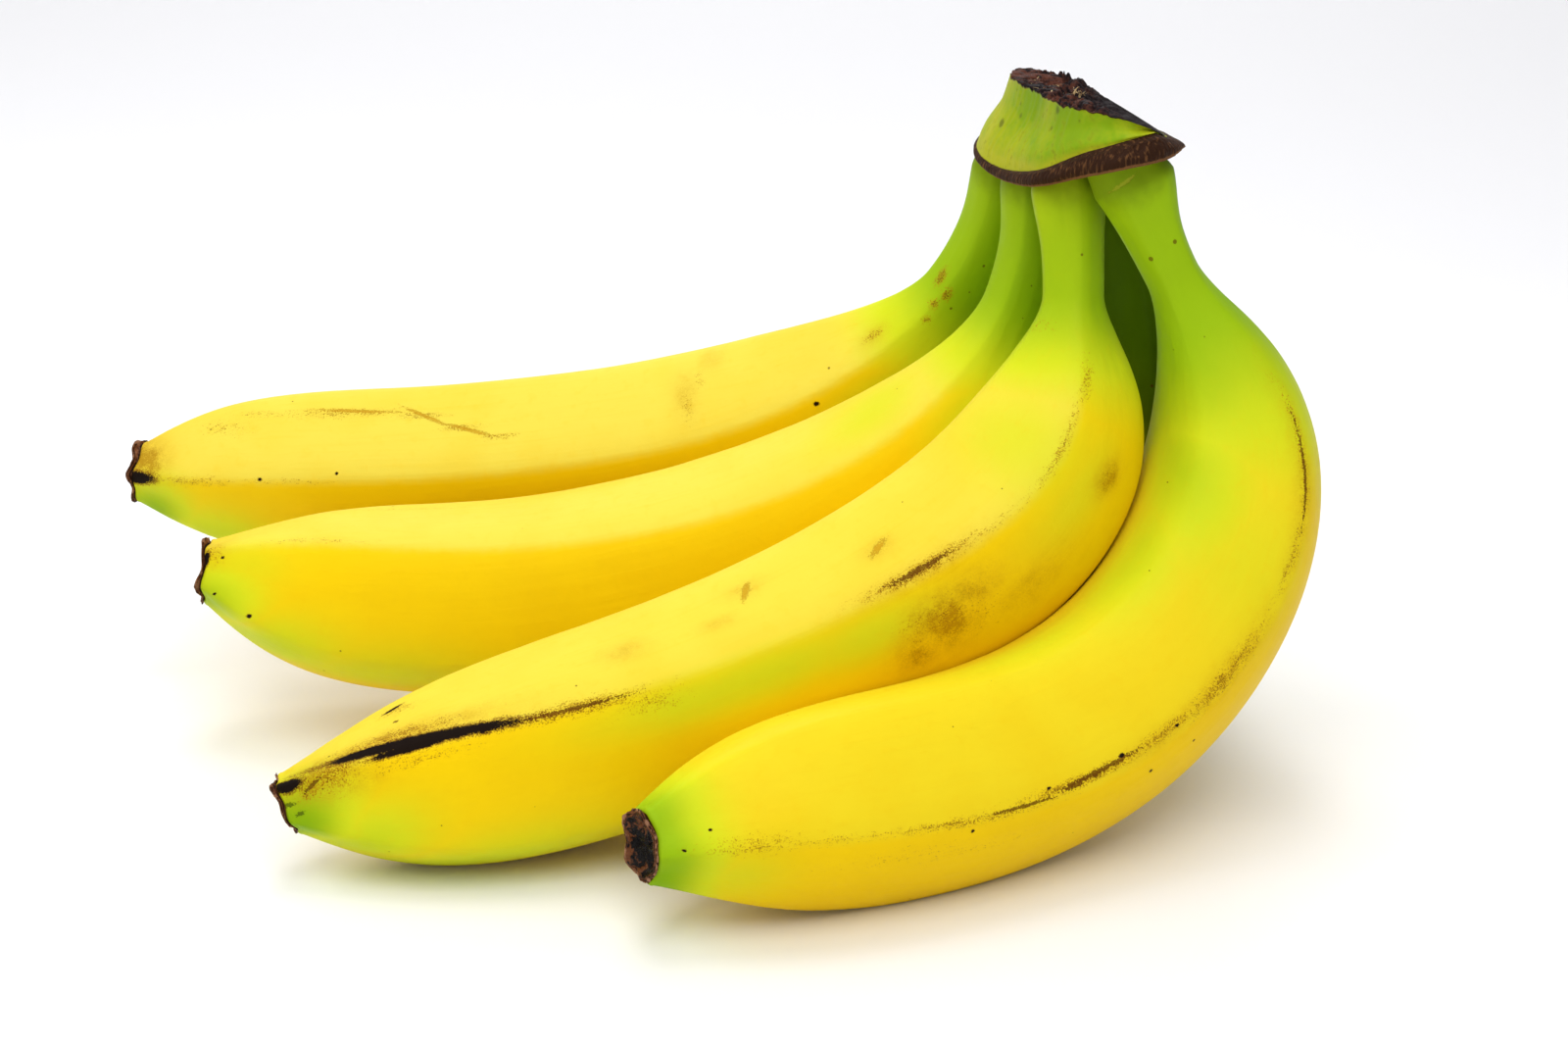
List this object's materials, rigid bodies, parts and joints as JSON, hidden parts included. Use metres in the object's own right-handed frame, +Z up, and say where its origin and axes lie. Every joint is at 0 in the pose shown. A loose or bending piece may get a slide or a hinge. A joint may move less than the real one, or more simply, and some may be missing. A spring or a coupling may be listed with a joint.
{
  "type": "bunch of bananas",
  "caption": "Ripe bananas joined at one cut crown, lying on a surface, with green necks, ridged yellow skin and dried flower ends.",
  "frame": {"origin": "the middle of the bunch's box, on the surface it lies on", "axes": "+Z up from the surface, +X along the bunch's length from the flower ends towards the crown, +Y from the front banana to the back one"},
  "size_m": [0.246, 0.1642, 0.136],
  "materials": {
    "skin": "smooth satin banana skin, lemon yellow, green at the neck and tip, with brown scars and specks along the ridges",
    "crown": "matte green stem skin with a dark brown band below and a torn, blackened fibrous cut on top",
    "flower_end": "dry, crumpled dark brown flower remnant"
  },
  "bodies": {
    "root": {"crown": "crown", "banana_1": "skin", "banana_2": "skin", "banana_3": "skin", "banana_4": "skin", "banana_5": "skin", "flower_end_1": "flower_end", "flower_end_2": "flower_end", "flower_end_3": "flower_end", "flower_end_4": "flower_end", "flower_end_5": "flower_end"}
  },
  "joints": []
}
